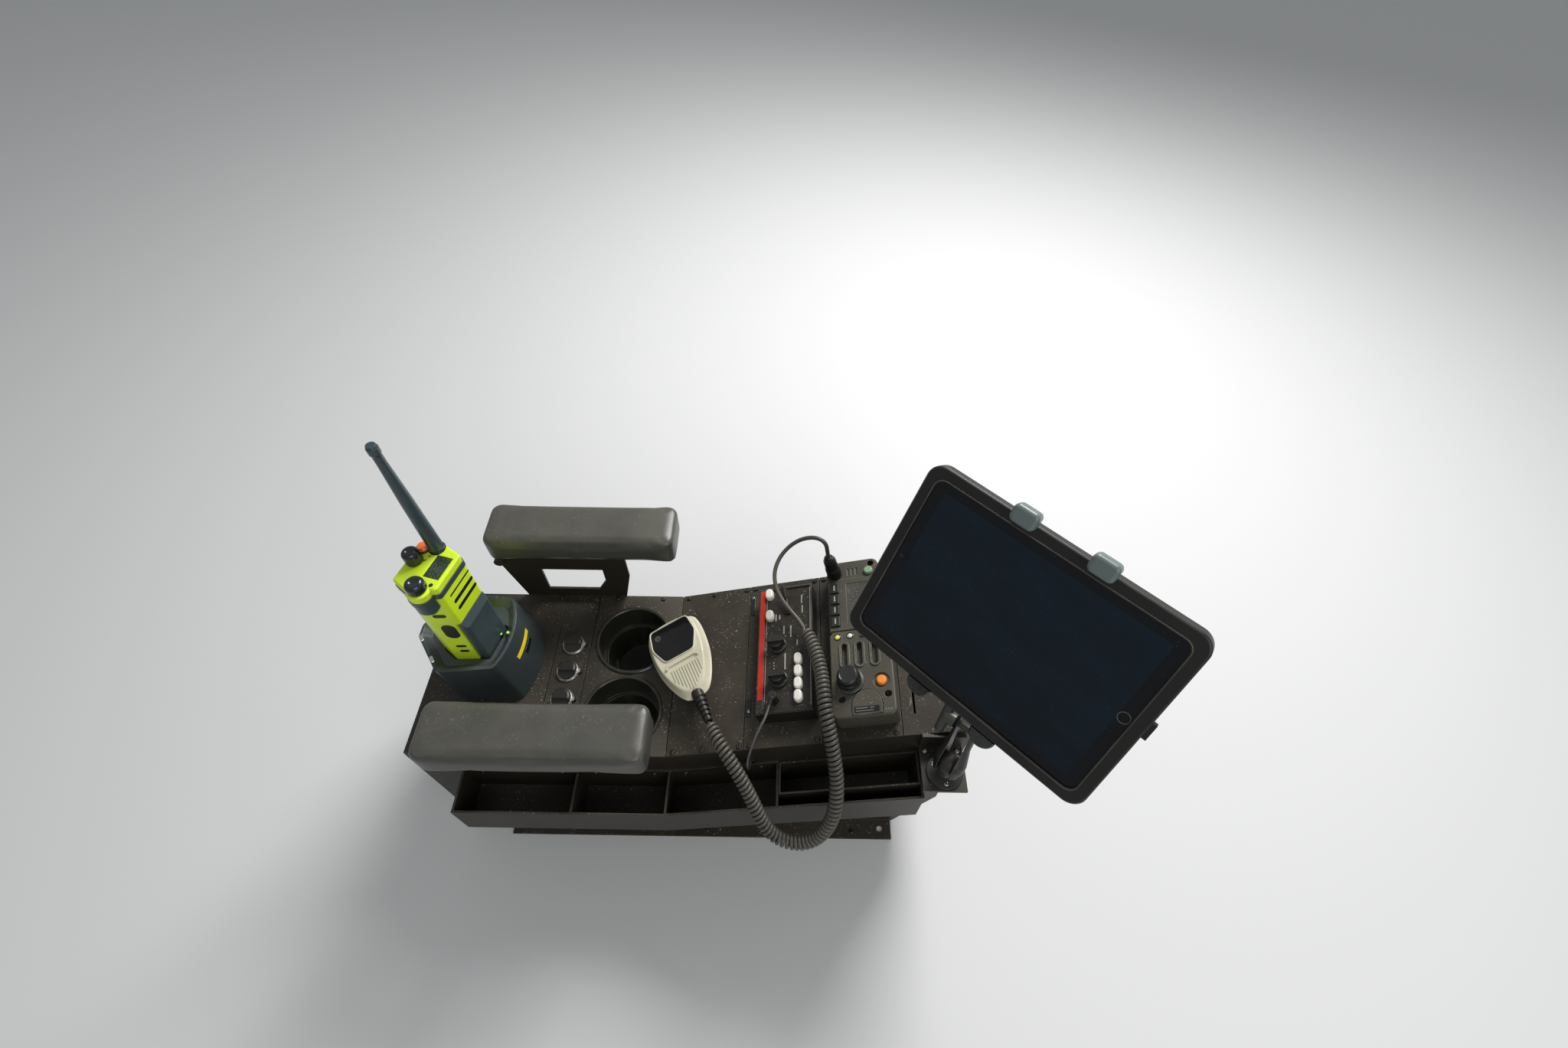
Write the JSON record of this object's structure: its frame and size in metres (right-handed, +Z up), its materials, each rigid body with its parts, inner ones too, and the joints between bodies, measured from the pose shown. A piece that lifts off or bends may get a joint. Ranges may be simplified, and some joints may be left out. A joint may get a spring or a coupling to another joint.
{
  "type": "patrol car centre equipment console",
  "caption": "Equipment console between a patrol car's front seats: cup holders, power sockets, portable radio, microphone, siren controller, radio head, armrests and tablet arm.",
  "frame": {"origin": "on the floor, in the middle of the four floor bolts", "axes": "+X towards the front of the car, +Y towards the driver, +Z up"},
  "size_m": [0.7557, 0.3652, 0.6],
  "materials": {
    "coated_steel": "black textured powder coat",
    "cup_plastic": "moulded",
    "bright_ring": "bright plated",
    "black_plastic": "fine grain",
    "safety_yellow": "moulded, satin",
    "orange_button": "moulded",
    "antenna_rubber": "smooth",
    "mic_cream": "moulded, satin",
    "mic_face": "satin",
    "steel_pin": "turned",
    "cord_jacket": "moulded jacket",
    "controller_case": "black, satin",
    "red_stripe": "printed film",
    "white_buttons": "moulded",
    "head_casting": "dark grey, moulded",
    "screen_glass": "glossy display cover",
    "armrest_foam": "moulded skin foam",
    "tablet_case": "moulded rugged case",
    "mount_casting": "black powder-coated casting",
    "claw_rubber": "grey caps"
  },
  "bodies": {
    "console": {"side_panel_left": "coated_steel", "side_panel_right": "coated_steel", "rear_panel": "coated_steel", "front_panel": "coated_steel", "charger_plate": "coated_steel", "socket_plate": "coated_steel", "cup_plate": "coated_steel", "blank_plate": "coated_steel", "siren_plate": "coated_steel", "head_plate": "coated_steel", "end_plate": "coated_steel", "side_tray": "coated_steel", "document_box": "coated_steel", "armrest_bracket_left": "coated_steel", "armrest_bracket_right": "coated_steel", "mount_shelf": "coated_steel", "mic_clip": "coated_steel", "cup_wells": "cup_plastic", "socket_rings": "bright_ring", "socket_caps": "black_plastic", "charger": "black_plastic", "mic_relief": "black_plastic", "mic_plug": "black_plastic", "siren_jack": "black_plastic", "siren_switch": "black_plastic", "siren_knobs": "black_plastic", "head_knob": "black_plastic", "head_keys": "black_plastic", "grommet": "black_plastic", "head_buttons": "orange_button", "mic_shell": "mic_cream", "mic_panel": "mic_face", "mic_button": "steel_pin", "curly_cord": "cord_jacket", "cord_tail": "cord_jacket", "siren_lead": "cord_jacket", "siren_case": "controller_case", "siren_stripe": "red_stripe", "siren_buttons": "white_buttons", "head_case": "head_casting", "head_screen": "screen_glass", "mount_base": "mount_casting"},
    "armrest_left": {"armrest_arm_left": "coated_steel", "armrest_pad_left": "armrest_foam"},
    "armrest_right": {"armrest_arm_right": "coated_steel", "armrest_pad_right": "armrest_foam"},
    "portable_radio": {"portable_battery": "black_plastic", "portable_band": "black_plastic", "portable_keys": "black_plastic", "portable_knobs": "black_plastic", "portable_body": "safety_yellow", "portable_button": "orange_button", "portable_antenna": "antenna_rubber", "portable_display": "screen_glass"},
    "mount_arm": {"mount_arm": "mount_casting", "mount_knob": "mount_casting"},
    "tablet": {"tablet_case": "tablet_case", "tablet_glass": "screen_glass", "grip_frame": "mount_casting", "grip_claws": "claw_rubber"}
  },
  "joints": [
    {"name": "armrest_left_flip", "type": "hinge", "parent": "console", "child": "armrest_left", "pos_m": [-0.25, 0.1085, 0.322], "axis": [0, -1, 0], "range_deg": [0, 85]},
    {"name": "armrest_right_flip", "type": "hinge", "parent": "console", "child": "armrest_right", "pos_m": [-0.25, -0.1085, 0.322], "axis": [0, -1, 0], "range_deg": [0, 85]},
    {"name": "portable_radio_lift", "type": "slide", "parent": "console", "child": "portable_radio", "axis": [0, 0, 1], "range_m": [0, 0.08]},
    {"name": "mount_arm_swing", "type": "hinge", "parent": "console", "child": "mount_arm", "pos_m": [0.272, -0.138, 0.322], "axis": [0, 0, 1], "range_deg": [-25, 25]},
    {"name": "tablet_tilt", "type": "hinge", "parent": "mount_arm", "child": "tablet", "pos_m": [0.32763, -0.0462, 0.46385], "axis": [0.7206, -0.6934, 0], "range_deg": [-15, 10]}
  ]
}
